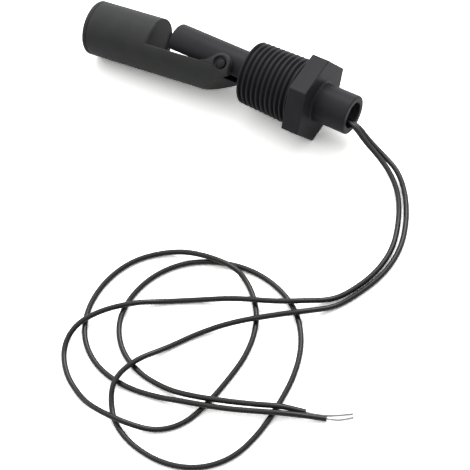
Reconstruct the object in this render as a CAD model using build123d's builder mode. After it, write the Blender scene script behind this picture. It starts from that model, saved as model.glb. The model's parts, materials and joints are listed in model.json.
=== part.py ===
from build123d import *
from math import asin, cos, degrees, pi, radians, sin, tan
import os

# Float level switch for the side of a tank: a threaded plastic body whose stem carries a hinged
# float, with a sealed reed contact in the stem and a magnet in the float. Millimetres.
# The part lies as it comes to rest on a table: on one flat of its hexagon, on the rim of its
# float and on its two leads. X is the thread axis, positive towards the leads, and Z is up.
# The origin is on the thread axis, in the face of the hexagon that closes on the tank wall.

# Body: tapered thread, hexagon and cable boss
thread_length = 19.96
thread_end_diameter = 21.1
thread_taper = 1 / 16
thread_pitch = 1.814
thread_depth = 1.16
thread_crest = 0.3
thread_root = 0.3
thread_lead_in = 0.35
hex_flats = 25.4
hex_thickness = 6.1
hex_edge = 0.35
boss_diameter = 13.0
boss_length = 12.0
boss_edge = 0.5
wire_bore_diameter = 8.6
wire_bore_end = -16.0

# Stem: a D section with its flat towards the float
stem_radius = 5.95
stem_flat = 3.5
stem_length = 29.79
stem_edge = 0.8
stem_bore_diameter = 5.4
stem_bore_height = 0.6
stem_tip_wall = 1.4

# Hinge: two short pins on the stem, in holes of the float's ears
hinge_setback = 27.7
hinge_drop = 1.36
pin_diameter = 3.15
pin_clearance = 0.1
pin_recess = 0.3
pin_dome = 0.35
recess_diameter = 4.9
recess_depth = 1.2
swing = 40.0

# Float: a round float, its tail cut down to a trough that closes round the stem
float_radius = 9.35
float_reach = 52.55
float_wall = 1.2
float_edge = 0.4
shoulder_reach = 27.5
shoulder_edge = 0.35
trough_top = 0.97
trough_depth = 2.3
trough_clearance = 0.35
ear_radius = 4.2
tail_slant = 33.4
cap_flange = 1.0
cap_spigot = 2.0
cap_clearance = 0.05

# Magnet in a blind bore under the trough, held by a plug
magnet_diameter = 4.6
magnet_length = 8.0
magnet_start = 7.0
magnet_depth = 5.9
magnet_clearance = 0.05
plug_length = 2.5

# Reed contact, lying on the floor of the stem's bore
glass_diameter = 2.5
glass_bore = 1.9
glass_length = 14.0
glass_seal = 1.8
glass_edge = 0.4
glass_gap = 0.05
glass_tip_gap = 2.15
blade_wire = 0.5
blade_width = 1.2
blade_thickness = 0.25
blade_overlap = 1.6
blade_gap = 0.15
blade_tip_length = 1.2
blade_root_length = 4.7
joint_diameter = 1.3
joint_length = 2.4
bead_radius = 0.7
sleeve_wall = 0.35
bond_gap = 0.02

# Potting in the mouth of the boss, and the two leads that leave it
potting_depth = 3.95
potting_end = 2.0
lead_diameter = 1.7
core_diameter = 0.5
lead_1_seat = (-1.8, -1.6)
lead_2_seat = (-0.5, -3.1)

# How the part lies
roll = 60.0
floor = -hex_flats / 2
lead_low = floor + lead_diameter / 2
lead_over = lead_low + 2.25
core_low = floor + core_diameter / 2 + 0.02

os.makedirs("parts", exist_ok=True)

# The stem's own directions, rolled about the thread axis onto a flat of the hexagon
up = Vector(0, sin(radians(roll)), cos(radians(roll)))
pin_axis = Vector(0, cos(radians(roll)), -sin(radians(roll)))
hinge = Vector(-hinge_setback, 0, 0) - up * hinge_drop

# The float swings down until the underside of its rim lies on the table
rim_fall = -floor - float_radius - hinge_drop * cos(radians(roll))
droop = degrees(asin(rim_fall / (float_reach * cos(radians(roll)))))
along = Vector(-cos(radians(droop)), 0, 0) - up * sin(radians(droop))


def across(x):
    """Plane square to the thread axis at x: its x runs along the hinge pins, its y to the stem's top."""
    return Plane(origin=(x, 0, 0), x_dir=pin_axis, z_dir=(1, 0, 0))


def beside(y):
    """Plane square to the hinge pins at y: its x is the thread axis, its y points to the stem's top."""
    return Plane(origin=pin_axis * y, x_dir=(1, 0, 0), z_dir=-pin_axis)


def float_across(reach):
    """Plane square to the float's axis, so far from the hinge: its y points to the float's top."""
    return Plane(origin=hinge + along * reach, x_dir=-pin_axis, z_dir=along)


def float_beside(y):
    """Plane square to the hinge pins at y: its x is the float's axis from the hinge outwards."""
    return Plane(origin=hinge + pin_axis * y, x_dir=along, z_dir=pin_axis)


def inside(x, y, z):
    """Point at x along the thread axis, y along the hinge pins and z towards the stem's top."""
    return Vector(x, 0, 0) + pin_axis * y + up * z


def bend_radii(route):
    """Radius at each inner point of a route: as large an arc as its two runs allow."""
    points = [Vector(*point) for point in route]
    radii = []
    for before, point, after in zip(points, points[1:], points[2:]):
        run_in = point - before
        run_out = after - point
        turn = radians(run_in.get_angle(run_out))
        shorter_run = min(run_in.length, run_out.length)
        radii.append(0.45 * shorter_run / tan(turn / 2))
    return radii


def report_wire(name, line, radii, solid, diameter):
    """Print a wire's length, its volume over that of its section along it, and its bend radii."""
    length = sum(edge.length for edge in line.edges())
    ratio = solid.volume / (length * pi * diameter * diameter / 4)
    print(name, "length", round(length, 1), "volume ratio", round(ratio, 4))
    print(name, "radii", [round(radius, 1) for radius in radii])


# Body: one moulding
# Half section of the thread: rings on a cone, from half a crest at the hexagon to the end face
thread_end = -thread_length
ring_count = int(thread_length / thread_pitch)
flank = (thread_pitch - thread_crest - thread_root) / 2
crest_at_shoulder = thread_end_diameter / 2 + thread_length * thread_taper / 2
thread_profile = [(0.0, 0.0), (0.0, crest_at_shoulder)]
for ring in range(ring_count):
    start = -ring * thread_pitch
    for offset, depth in (
        (thread_crest / 2, 0.0),
        (thread_crest / 2 + flank, thread_depth),
        (thread_crest / 2 + flank + thread_root, thread_depth),
        (thread_pitch - thread_crest / 2, 0.0),
    ):
        x = start - offset
        thread_profile.append((x, crest_at_shoulder + x * thread_taper / 2 - depth))
thread_profile.append((thread_end, thread_end_diameter / 2))
thread_profile.append((thread_end, 0.0))

stem_end = thread_end - stem_length
stem_start = thread_end + stem_edge
boss_end = hex_thickness + boss_length
stem_bore_end = stem_end + stem_tip_wall
pin_end = float_radius - pin_recess

with BuildPart() as switch_body:
    with BuildSketch(beside(0)):
        with BuildLine():
            Polyline(*thread_profile, close=True)
        make_face()
    revolve(axis=Axis.X)
    # The starting threads are turned down by a cone at the end face
    with BuildSketch(beside(0)):
        cone_foot = thread_end_diameter / 2 - thread_lead_in
        with BuildLine():
            Polyline(
                (thread_end, cone_foot),
                (thread_end + 2 * thread_lead_in, cone_foot + 2 * thread_lead_in),
                (thread_end, cone_foot + 2 * thread_lead_in),
                close=True,
            )
        make_face()
    revolve(axis=Axis.X, mode=Mode.SUBTRACT)
    with BuildSketch(across(0)):
        RegularPolygon(hex_flats / 2, 6, major_radius=False)
    extrude(amount=hex_thickness)
    hex_faces = switch_body.faces().filter_by(Axis.X).group_by(Axis.X)[-1]
    chamfer(hex_faces.edges(), hex_edge)
    with BuildSketch(across(hex_thickness)):
        Circle(boss_diameter / 2)
    extrude(amount=boss_length)
    with BuildSketch(across(stem_end)):
        Circle(stem_radius)
        with Locations((0, -stem_flat)):
            Rectangle(
                4 * stem_radius,
                2 * stem_radius,
                align=(Align.CENTER, Align.MAX),
                mode=Mode.SUBTRACT,
            )
    extrude(amount=stem_start - stem_end)
    stem_tip = switch_body.faces().sort_by(Axis.X)[0]
    fillet(stem_tip.edges(), stem_edge)
    # Hinge pins, one on each side of the stem, with domed ends
    for side in (1, -1):
        with BuildSketch(beside(0)):
            with Locations((-hinge_setback, -hinge_drop)):
                Circle(pin_diameter / 2)
        extrude(amount=-side * pin_end)
    pin_faces = switch_body.faces().filter_by(GeomType.PLANE).sort_by(Axis((0, 0, 0), pin_axis))
    fillet(pin_faces[0].edges() + pin_faces[-1].edges(), pin_dome)
    # Wire bore from the boss, then the reed's bore down the stem
    with BuildSketch(across(boss_end)):
        Circle(wire_bore_diameter / 2)
    extrude(amount=wire_bore_end - boss_end, mode=Mode.SUBTRACT)
    with BuildSketch(across(wire_bore_end)):
        with Locations((0, stem_bore_height)):
            Circle(stem_bore_diameter / 2)
    extrude(amount=stem_bore_end - wire_bore_end, mode=Mode.SUBTRACT)
    boss_rim = switch_body.faces().sort_by(Axis.X)[-1]
    fillet(boss_rim.outer_wire().edges(), boss_edge)
switch_body.part.label = "switch_body"
export_step(switch_body.part, "parts/switch_body.step")

# Potting, set below the mouth of the boss
potting_face = boss_end - potting_depth
with BuildPart() as potting:
    with BuildSketch(across(potting_end)):
        Circle(wire_bore_diameter / 2 - bond_gap)
    extrude(amount=potting_face - potting_end)
potting.part.label = "potting"
export_step(potting.part, "parts/potting.step")

# Reed contact
stem_bore_floor = stem_bore_height - stem_bore_diameter / 2
glass_height = stem_bore_floor + glass_gap + glass_diameter / 2
glass_tip = stem_bore_end + glass_tip_gap
glass_root = glass_tip + glass_length

with BuildPart() as reed_glass:
    with BuildSketch(across(glass_tip)):
        with Locations((0, glass_height)):
            Circle(glass_diameter / 2)
    extrude(amount=glass_length)
    fillet(reed_glass.edges().filter_by(GeomType.CIRCLE), glass_edge)
    with BuildSketch(across(glass_tip + glass_seal)):
        with Locations((0, glass_height)):
            Circle(glass_bore / 2)
    extrude(amount=glass_length - 2 * glass_seal, mode=Mode.SUBTRACT)
    with BuildSketch(across(glass_tip)):
        with Locations((0, glass_height)):
            Circle(blade_wire / 2 + bond_gap)
    extrude(amount=glass_length, mode=Mode.SUBTRACT)
reed_glass.part.label = "reed_glass"
export_step(reed_glass.part, "parts/reed_glass.step")

# Each blade is a round wire that is rolled flat inside the glass, and the two overlap
blade_step = blade_gap / 2 + blade_thickness / 2
blade_tip_end = glass_tip - blade_tip_length
blade_root_end = glass_root + blade_root_length

with BuildPart() as reed_blade_tip:
    with BuildSketch(across(blade_tip_end)):
        with Locations((0, glass_height)):
            Circle(blade_wire / 2)
    extrude(amount=blade_tip_length + glass_seal + blade_wire)
    with BuildSketch(across(glass_tip + glass_seal)):
        with Locations((0, glass_height + blade_step)):
            Rectangle(blade_width, blade_thickness)
    extrude(amount=glass_length / 2 - glass_seal + blade_overlap / 2)
reed_blade_tip.part.label = "reed_blade_tip"
export_step(reed_blade_tip.part, "parts/reed_blade_tip.step")

with BuildPart() as reed_blade_root:
    with BuildSketch(across(blade_root_end)):
        with Locations((0, glass_height)):
            Circle(blade_wire / 2)
    extrude(amount=-(blade_root_length + glass_seal + blade_wire))
    with BuildSketch(across(glass_root - glass_seal)):
        with Locations((0, glass_height - blade_step)):
            Rectangle(blade_width, blade_thickness)
    extrude(amount=-(glass_length / 2 - glass_seal + blade_overlap / 2))
reed_blade_root.part.label = "reed_blade_root"
export_step(reed_blade_root.part, "parts/reed_blade_root.step")

# Wires inside the body. Lead 2 ends at the reed's root, and lead 1 passes over the glass to its tip.
seat_1 = (
    lead_1_seat[0] * pin_axis.Y + lead_1_seat[1] * pin_axis.Z,
    lead_1_seat[0] * up.Y + lead_1_seat[1] * up.Z,
)
seat_2 = (
    lead_2_seat[0] * pin_axis.Y + lead_2_seat[1] * pin_axis.Z,
    lead_2_seat[0] * up.Y + lead_2_seat[1] * up.Z,
)
tail_height = glass_height + glass_diameter / 2 + 0.15 + lead_diameter / 2
joint_middle = blade_root_end
insulation_2_end = joint_middle + joint_length / 2 + 1.9
insulation_1_end = glass_tip + 0.6
bead_middle = blade_tip_end + 0.3

tail_1_route = [
    inside(potting_end, *seat_1),
    inside(potting_end - 3.5, *seat_1),
    inside(potting_end - 8.5, 0.0, 0.4),
    inside(wire_bore_end + 2.5, -0.2, tail_height + 0.1),
    inside(wire_bore_end - 1.5, 0.0, tail_height),
    inside(insulation_1_end, 0.0, tail_height),
]
tail_2_route = [
    inside(potting_end, *seat_2),
    inside(potting_end - 7.0, *seat_2),
    inside(wire_bore_end + 4.0, 0.9, glass_height - 0.4),
    inside(wire_bore_end - 1.5, 0.0, glass_height),
    inside(insulation_2_end, 0.0, glass_height),
]
tail_radius = 2.0 * lead_diameter

with BuildPart() as lead_1_tail:
    with BuildLine():
        FilletPolyline(*tail_1_route, radius=tail_radius)
    with BuildSketch(across(potting_end)):
        with Locations(seat_1):
            Circle(lead_diameter / 2)
    sweep()
lead_1_tail.part.label = "lead_1_tail"
export_step(lead_1_tail.part, "parts/lead_1_tail.step")

with BuildPart() as lead_2_tail:
    with BuildLine():
        FilletPolyline(*tail_2_route, radius=tail_radius)
    with BuildSketch(across(potting_end)):
        with Locations(seat_2):
            Circle(lead_diameter / 2)
    sweep()
lead_2_tail.part.label = "lead_2_tail"
export_step(lead_2_tail.part, "parts/lead_2_tail.step")

# Bared conductors: one bends down onto the blade at the tip, the other meets the blade end to end
with BuildPart() as tail_1_core:
    with BuildLine():
        FilletPolyline(
            inside(insulation_1_end, 0.0, tail_height),
            inside(bead_middle, 0.0, tail_height),
            inside(bead_middle, 0.0, glass_height + blade_wire / 2 + bond_gap),
            radius=core_diameter,
        )
    with BuildSketch(across(insulation_1_end)):
        with Locations((0, tail_height)):
            Circle(core_diameter / 2)
    sweep()
tail_1_core.part.label = "tail_1_core"
export_step(tail_1_core.part, "parts/tail_1_core.step")

with BuildPart() as tail_2_core:
    with BuildSketch(across(joint_middle)):
        with Locations((0, glass_height)):
            Circle(core_diameter / 2)
    extrude(amount=insulation_2_end - joint_middle)
tail_2_core.part.label = "tail_2_core"
export_step(tail_2_core.part, "parts/tail_2_core.step")

with BuildPart() as solder_joint_tip:
    with Locations(inside(bead_middle, 0.0, glass_height + core_diameter / 4)):
        Sphere(bead_radius)
    with BuildSketch(across(bead_middle - bead_radius)):
        with Locations((0, glass_height)):
            Circle(blade_wire / 2 + bond_gap)
    extrude(amount=2 * bead_radius, mode=Mode.SUBTRACT)
    with BuildSketch(Plane(origin=inside(bead_middle, 0.0, glass_height), x_dir=(1, 0, 0), z_dir=up)):
        Circle(core_diameter / 2 + bond_gap)
    extrude(amount=2 * bead_radius, mode=Mode.SUBTRACT)
solder_joint_tip.part.label = "solder_joint_tip"
export_step(solder_joint_tip.part, "parts/solder_joint_tip.step")

with BuildPart() as solder_joint_root:
    with BuildSketch(across(joint_middle - joint_length / 2)):
        with Locations((0, glass_height)):
            Circle(joint_diameter / 2)
            Circle(blade_wire / 2 + bond_gap, mode=Mode.SUBTRACT)
    extrude(amount=joint_length)
solder_joint_root.part.label = "solder_joint_root"
export_step(solder_joint_root.part, "parts/solder_joint_root.step")

with BuildPart() as reed_sleeve:
    sleeve_bore = joint_diameter / 2 + bond_gap
    sleeve_start = glass_root + bond_gap
    with BuildSketch(across(sleeve_start)):
        with Locations((0, glass_height)):
            Circle(sleeve_bore + sleeve_wall)
            Circle(sleeve_bore, mode=Mode.SUBTRACT)
    extrude(amount=insulation_2_end - sleeve_start)
reed_sleeve.part.label = "reed_sleeve"
export_step(reed_sleeve.part, "parts/reed_sleeve.step")

# Float shell: a closed round float behind the shoulder, with a trough and two ears before it
cap_start = float_reach - cap_flange
trough_half_width = stem_radius + trough_clearance
slant = radians(tail_slant)
tail_start = -2 * ear_radius
slant_foot = (ear_radius - 2 * float_radius * cos(slant)) / -sin(slant)
slant_head = (ear_radius + trough_top * -cos(slant)) / -sin(slant)
floor_break = trough_depth * tan(radians(swing / 2))
floor_fall = (floor_break - tail_start) * tan(radians(swing))
chamber_radius = float_radius - float_wall
chamber_top = -trough_depth - float_wall
magnet_end = magnet_start + magnet_length
bore_end = magnet_end + plug_length

with BuildPart() as float_shell:
    with BuildSketch(float_across(tail_start)):
        Circle(float_radius)
    extrude(amount=cap_start - tail_start)
    # Side outline: slanted tail, trough walls, shoulder, and an ear about the hinge
    with BuildSketch(float_beside(0)):
        with BuildLine():
            Polyline(
                (slant_head, -trough_top),
                (shoulder_reach, -trough_top),
                (shoulder_reach, 2 * float_radius),
                (cap_start, 2 * float_radius),
                (cap_start, -2 * float_radius),
                (slant_foot, -2 * float_radius),
                close=True,
            )
        make_face()
        Circle(ear_radius)
    extrude(amount=2 * float_radius, both=True, mode=Mode.INTERSECT)
    shoulder_face = float_shell.faces().filter_by(float_across(0)).sort_by(Axis(hinge, along))[-2]
    fillet(shoulder_face.edges().filter_by(GeomType.CIRCLE), shoulder_edge)
    # Trough round the stem: its floor falls away behind the hinge, so that the stem clears it
    # when the float hangs fully down
    with BuildSketch(float_beside(0)):
        with BuildLine():
            Polyline(
                (shoulder_reach, -trough_depth),
                (floor_break, -trough_depth),
                (tail_start, -trough_depth - floor_fall),
                (tail_start, 2 * float_radius),
                (shoulder_reach, 2 * float_radius),
                close=True,
            )
        make_face()
    extrude(amount=trough_half_width, both=True, mode=Mode.SUBTRACT)
    # Chamber behind the shoulder, then the lower one under the trough, then the magnet's bore
    with BuildSketch(float_across(shoulder_reach + float_wall)):
        Circle(chamber_radius)
    extrude(amount=cap_start - shoulder_reach - float_wall, mode=Mode.SUBTRACT)
    with BuildSketch(float_across(bore_end)):
        Circle(chamber_radius)
        with Locations((0, chamber_top)):
            Rectangle(
                4 * float_radius,
                4 * float_radius,
                align=(Align.CENTER, Align.MIN),
                mode=Mode.SUBTRACT,
            )
    extrude(amount=shoulder_reach + 2 * float_wall - bore_end, mode=Mode.SUBTRACT)
    with BuildSketch(float_across(magnet_start)):
        with Locations((0, -magnet_depth)):
            Circle(magnet_diameter / 2 + magnet_clearance)
    extrude(amount=bore_end - magnet_start + float_wall, mode=Mode.SUBTRACT)
    # Pivot holes, each with a round recess in the outer face of its ear
    with BuildSketch(float_beside(0)):
        Circle(pin_diameter / 2 + pin_clearance)
    extrude(amount=2 * float_radius, both=True, mode=Mode.SUBTRACT)
    for side in (1, -1):
        with BuildSketch(float_beside(side * (float_radius - recess_depth))):
            Circle(recess_diameter / 2)
        extrude(amount=side * 2 * recess_depth, mode=Mode.SUBTRACT)
float_shell.part.label = "float_shell"
export_step(float_shell.part, "parts/float_shell.step")

with BuildPart() as float_end_cap:
    with BuildSketch(float_across(cap_start)):
        Circle(float_radius)
    extrude(amount=cap_flange)
    outer_face = float_end_cap.faces().sort_by(Axis(hinge, along))[-1]
    fillet(outer_face.edges(), float_edge)
    with BuildSketch(float_across(cap_start - cap_spigot)):
        Circle(chamber_radius - cap_clearance)
        Circle(chamber_radius - float_wall, mode=Mode.SUBTRACT)
    extrude(amount=cap_spigot)
float_end_cap.part.label = "float_end_cap"
export_step(float_end_cap.part, "parts/float_end_cap.step")

with BuildPart() as float_magnet:
    with BuildSketch(float_across(magnet_start)):
        with Locations((0, -magnet_depth)):
            Circle(magnet_diameter / 2)
    extrude(amount=magnet_length)
float_magnet.part.label = "float_magnet"
export_step(float_magnet.part, "parts/float_magnet.step")

with BuildPart() as magnet_plug:
    with BuildSketch(float_across(magnet_end)):
        with Locations((0, -magnet_depth)):
            Circle(magnet_diameter / 2)
    extrude(amount=plug_length)
magnet_plug.part.label = "magnet_plug"
export_step(magnet_plug.part, "parts/magnet_plug.step")

# The two leads: out of the potting, down to the table, and round in loose loops that cross
lead_1_route = [
    (potting_face, *lead_1_seat),
    (18.9, *lead_1_seat),
    (24.2, -4.0, -4.8),
    (30.3, -5.9, -7.2),
    (36.3, -8.8, -9.1),
    (41.9, -13.9, -10.9),
    (46.3, -22.0, lead_low),
    (49.4, -31.5, lead_low),
    (48.8, -41.5, lead_low),
    (45.0, -51.0, lead_low),
    (41.3, -55.7, lead_low),
    (35.8, -60.2, lead_over),
    (28.0, -64.8, lead_over),
    (16.0, -69.8, lead_over),
    (5.0, -75.2, lead_low),
    (-4.6, -81.0, lead_low),
    (-10.2, -85.6, lead_over),
    (-18.0, -92.7, lead_over),
    (-22.6, -100.8, lead_over),
    (-22.6, -108.5, lead_low),
    (-16.4, -115.6, lead_low),
    (-8.0, -119.6, lead_low),
    (-1.0, -121.2, lead_over),
    (9.5, -120.6, lead_over),
    (18.5, -117.8, lead_low),
    (24.8, -111.5, lead_low),
    (27.2, -102.5, lead_low),
    (28.4, -93.0, lead_low),
    (28.8, -84.0, lead_low),
    (27.0, -75.5, lead_low),
    (22.6, -68.0, lead_low),
    (16.0, -62.4, lead_low),
    (9.5, -60.2, lead_over),
    (-4.0, -62.0, lead_over),
    (-13.5, -65.6, lead_low),
    (-20.8, -73.0, lead_low),
    (-24.3, -83.0, lead_low),
    (-23.7, -94.0, lead_low),
    (-18.5, -103.3, lead_low),
    (-9.5, -109.0, lead_low),
    (1.5, -110.4, lead_low),
    (12.0, -108.6, lead_low),
    (21.5, -106.3, lead_over),
    (32.0, -102.9, lead_over),
    (41.0, -99.0, lead_over),
    (51.0, -94.3, lead_over),
    (60.4, -89.9, lead_low),
]
lead_2_route = [
    (potting_face, *lead_2_seat),
    (19.4, *lead_2_seat),
    (24.6, -2.4, -6.1),
    (30.9, -4.1, -8.4),
    (37.5, -6.5, -9.7),
    (43.4, -12.2, -11.4),
    (48.5, -20.9, lead_low),
    (51.6, -30.6, lead_low),
    (51.2, -40.9, lead_low),
    (47.1, -51.5, lead_low),
    (43.6, -57.3, lead_low),
    (38.6, -62.6, lead_over),
    (31.3, -67.9, lead_over),
    (20.2, -76.8, lead_over),
    (11.8, -84.6, lead_low),
    (6.0, -93.5, lead_low),
    (1.6, -100.8, lead_over),
    (-0.9, -107.2, lead_over),
    (-0.6, -112.4, lead_over),
    (1.6, -116.9, lead_low),
    (6.5, -121.8, lead_low),
    (15.0, -125.0, lead_low),
    (26.5, -125.2, lead_low),
    (36.5, -121.2, lead_low),
    (43.2, -113.5, lead_low),
    (45.7, -103.5, lead_low),
    (45.9, -92.5, lead_low),
    (44.9, -81.5, lead_low),
    (41.2, -71.6, lead_low),
    (34.5, -63.8, lead_low),
    (25.5, -59.4, lead_low),
    (15.5, -58.0, lead_low),
    (6.0, -59.6, lead_low),
    (-3.5, -64.0, lead_low),
    (-10.6, -71.8, lead_low),
    (-13.9, -81.8, lead_low),
    (-12.9, -92.2, lead_low),
    (-6.5, -100.4, lead_low),
    (3.0, -104.5, lead_low),
    (13.0, -104.9, lead_low),
    (21.5, -104.0, lead_over),
    (31.5, -100.5, lead_over),
    (40.3, -96.9, lead_over),
    (47.0, -93.8, lead_over),
    (51.0, -92.1, -10.9),
    (54.0, -91.0, lead_low),
]
# Bared, tinned conductors that carry on from the ends of the insulation
core_1_route = [
    lead_1_route[-1],
    (62.6, -88.87, -12.376),
    (64.9, -87.4, core_low),
    (66.9, -85.5, core_low),
]
core_2_route = [
    lead_2_route[-1],
    (55.4, -90.486, -12.293),
    (58.5, -89.4, core_low),
    (62.2, -87.5, core_low),
    (66.2, -84.6, core_low),
]


def wire_section(path, diameter):
    """Round section of a wire at the start of its path, square to it."""
    with BuildSketch(Plane(origin=path @ 0, z_dir=path % 0)) as section:
        Circle(diameter / 2)
    return section.sketch


lead_1_radii = bend_radii(lead_1_route)
with BuildPart() as lead_1:
    with BuildLine() as lead_1_path:
        FilletPolyline(*lead_1_route, radius=lead_1_radii)
    sweep(wire_section(lead_1_path.line, lead_diameter), path=lead_1_path.line)
lead_1.part.label = "lead_1"
export_step(lead_1.part, "parts/lead_1.step")
report_wire("lead_1", lead_1_path.line, lead_1_radii, lead_1.part, lead_diameter)

lead_2_radii = bend_radii(lead_2_route)
with BuildPart() as lead_2:
    with BuildLine() as lead_2_path:
        FilletPolyline(*lead_2_route, radius=lead_2_radii)
    sweep(wire_section(lead_2_path.line, lead_diameter), path=lead_2_path.line)
lead_2.part.label = "lead_2"
export_step(lead_2.part, "parts/lead_2.step")
report_wire("lead_2", lead_2_path.line, lead_2_radii, lead_2.part, lead_diameter)

core_1_radii = bend_radii(core_1_route)
with BuildPart() as lead_1_core:
    with BuildLine() as core_1_path:
        FilletPolyline(*core_1_route, radius=core_1_radii)
    sweep(wire_section(core_1_path.line, core_diameter), path=core_1_path.line)
lead_1_core.part.label = "lead_1_core"
export_step(lead_1_core.part, "parts/lead_1_core.step")
report_wire("lead_1_core", core_1_path.line, core_1_radii, lead_1_core.part, core_diameter)

core_2_radii = bend_radii(core_2_route)
with BuildPart() as lead_2_core:
    with BuildLine() as core_2_path:
        FilletPolyline(*core_2_route, radius=core_2_radii)
    sweep(wire_section(core_2_path.line, core_diameter), path=core_2_path.line)
lead_2_core.part.label = "lead_2_core"
export_step(lead_2_core.part, "parts/lead_2_core.step")
report_wire("lead_2_core", core_2_path.line, core_2_radii, lead_2_core.part, core_diameter)

print("droop at rest", round(droop, 3), "hinge", hinge)
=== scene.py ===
"""Dresses a side-mounted float level switch: threaded body, hinged float and two flying leads."""

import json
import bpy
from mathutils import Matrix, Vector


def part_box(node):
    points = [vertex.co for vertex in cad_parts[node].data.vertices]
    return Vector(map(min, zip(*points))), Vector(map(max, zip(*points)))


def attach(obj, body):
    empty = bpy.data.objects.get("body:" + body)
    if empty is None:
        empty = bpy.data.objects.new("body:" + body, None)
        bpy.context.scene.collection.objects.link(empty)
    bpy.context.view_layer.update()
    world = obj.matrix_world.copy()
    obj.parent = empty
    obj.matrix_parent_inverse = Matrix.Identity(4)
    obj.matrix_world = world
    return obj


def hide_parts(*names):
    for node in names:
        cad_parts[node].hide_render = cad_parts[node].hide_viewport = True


bl_info = {
    "name": "Float Level Switch",
    "version": (1, 0, 0),
    "blender": (4, 5, 0),
    "location": "View3D > Sidebar > Level Switch",
    "description": "Builds the surfaces, leads, finishes and studio of a float level switch",
    "category": "Object",
}

import bmesh
import bpy
import numpy as np
from mathutils import Matrix, Vector

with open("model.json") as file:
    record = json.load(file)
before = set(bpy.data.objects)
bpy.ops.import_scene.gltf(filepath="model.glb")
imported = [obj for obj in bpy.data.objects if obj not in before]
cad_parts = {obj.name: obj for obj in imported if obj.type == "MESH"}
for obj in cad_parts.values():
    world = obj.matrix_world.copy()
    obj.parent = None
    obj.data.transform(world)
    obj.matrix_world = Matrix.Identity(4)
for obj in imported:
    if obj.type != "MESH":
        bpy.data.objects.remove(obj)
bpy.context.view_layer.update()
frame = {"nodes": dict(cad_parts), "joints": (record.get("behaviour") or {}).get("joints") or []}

MM = 0.001
THREAD_TAPER = 1 / 16
JOINT = frame["joints"][0]
HINGE = np.array(JOINT["pos_m"], float)
DROOP = -np.radians(JOINT["range_deg"][0])
SWING = np.radians(JOINT["range_deg"][1] - JOINT["range_deg"][0])
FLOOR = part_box("switch_body")[0].z

# The stem's own directions: towards the leads, along the hinge pins and up from the float
TO_LEADS = np.array((1.0, 0.0, 0.0))
ALONG_PINS = -np.array(JOINT["axis"], float)
STEM_UP = np.cross(TO_LEADS, ALONG_PINS)
AXIS_POINT = np.zeros(3)

# The float's directions at rest: from the hinge to its far end, and up to the stem
TO_FLOAT_END = -np.cos(DROOP) * TO_LEADS - np.sin(DROOP) * STEM_UP
FLOAT_UP = -np.sin(DROOP) * TO_LEADS + np.cos(DROOP) * STEM_UP


def length(name, description, millimetres, low=0.0):
    """A length property in metres, with its default in millimetres."""
    return bpy.props.FloatProperty(
        name=name,
        description=description,
        default=millimetres * MM,
        min=low * MM,
        precision=5,
        subtype="DISTANCE",
        unit="LENGTH",
    )


def number(name, description, value):
    """A plain number property."""
    return bpy.props.FloatProperty(name=name, description=description, default=value)


def angle(name, description, degrees):
    """An angle property, with its default in degrees."""
    return bpy.props.FloatProperty(
        name=name,
        description=description,
        default=np.radians(degrees),
        subtype="ANGLE",
        unit="ROTATION",
    )


def place(name, description, value):
    """A place property in metres."""
    return bpy.props.FloatVectorProperty(
        name=name,
        description=description,
        default=value,
        subtype="TRANSLATION",
        unit="LENGTH",
    )


def colour(name, description, value):
    """A colour property, linear."""
    return bpy.props.FloatVectorProperty(
        name=name,
        description=description,
        default=value,
        size=3,
        min=0.0,
        max=1.0,
        subtype="COLOR",
    )


class SwitchBodySettings(bpy.types.PropertyGroup):
    thread_length: length("Thread length", "From the hexagon to the end face", 19.96)
    thread_end_radius: length("Thread end radius", "Over the crests at the small end", 10.55)
    thread_pitch: length("Thread pitch", "From crest to crest", 1.814, 0.5)
    thread_depth: length("Thread depth", "From crest to root", 1.16)
    thread_lead_in: length("Thread lead-in", "Width of the cone that starts the thread", 0.35)
    hex_flats: length("Hexagon", "Across the flats", 25.4)
    hex_thickness: length("Hexagon thickness", "Along the thread axis", 6.1)
    hex_edge: length("Hexagon edge", "Radius of its moulded edges", 0.35)
    boss_radius: length("Boss radius", "Of the round boss that the leads leave", 6.5)
    boss_length: length("Boss length", "From the hexagon to the rim", 12.0)
    boss_edge: length("Boss edge", "Radius of its rim", 0.5)
    bore_radius: length("Bore radius", "Of the boss's mouth", 4.3)
    potting_depth: length("Potting depth", "From the rim down to the resin", 3.95)
    stem_radius: length("Stem radius", "Of its round side", 5.95)
    stem_flat: length("Stem flat", "From the thread axis to the flat", 3.5)
    stem_length: length("Stem length", "From the thread's end face to the tip", 29.79)
    stem_edge: length("Stem edge", "Radius round the tip", 0.8)
    pin_radius: length("Pin radius", "Of the hinge pins", 1.575)
    pin_reach: length("Pin reach", "From the middle of the stem to a pin's end", 9.05)
    plastic: colour("Plastic", "Of the moulded body", (0.0235, 0.0235, 0.027))
    resin: colour("Resin", "Of the potting in the boss", (0.83, 0.82, 0.78))


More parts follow.
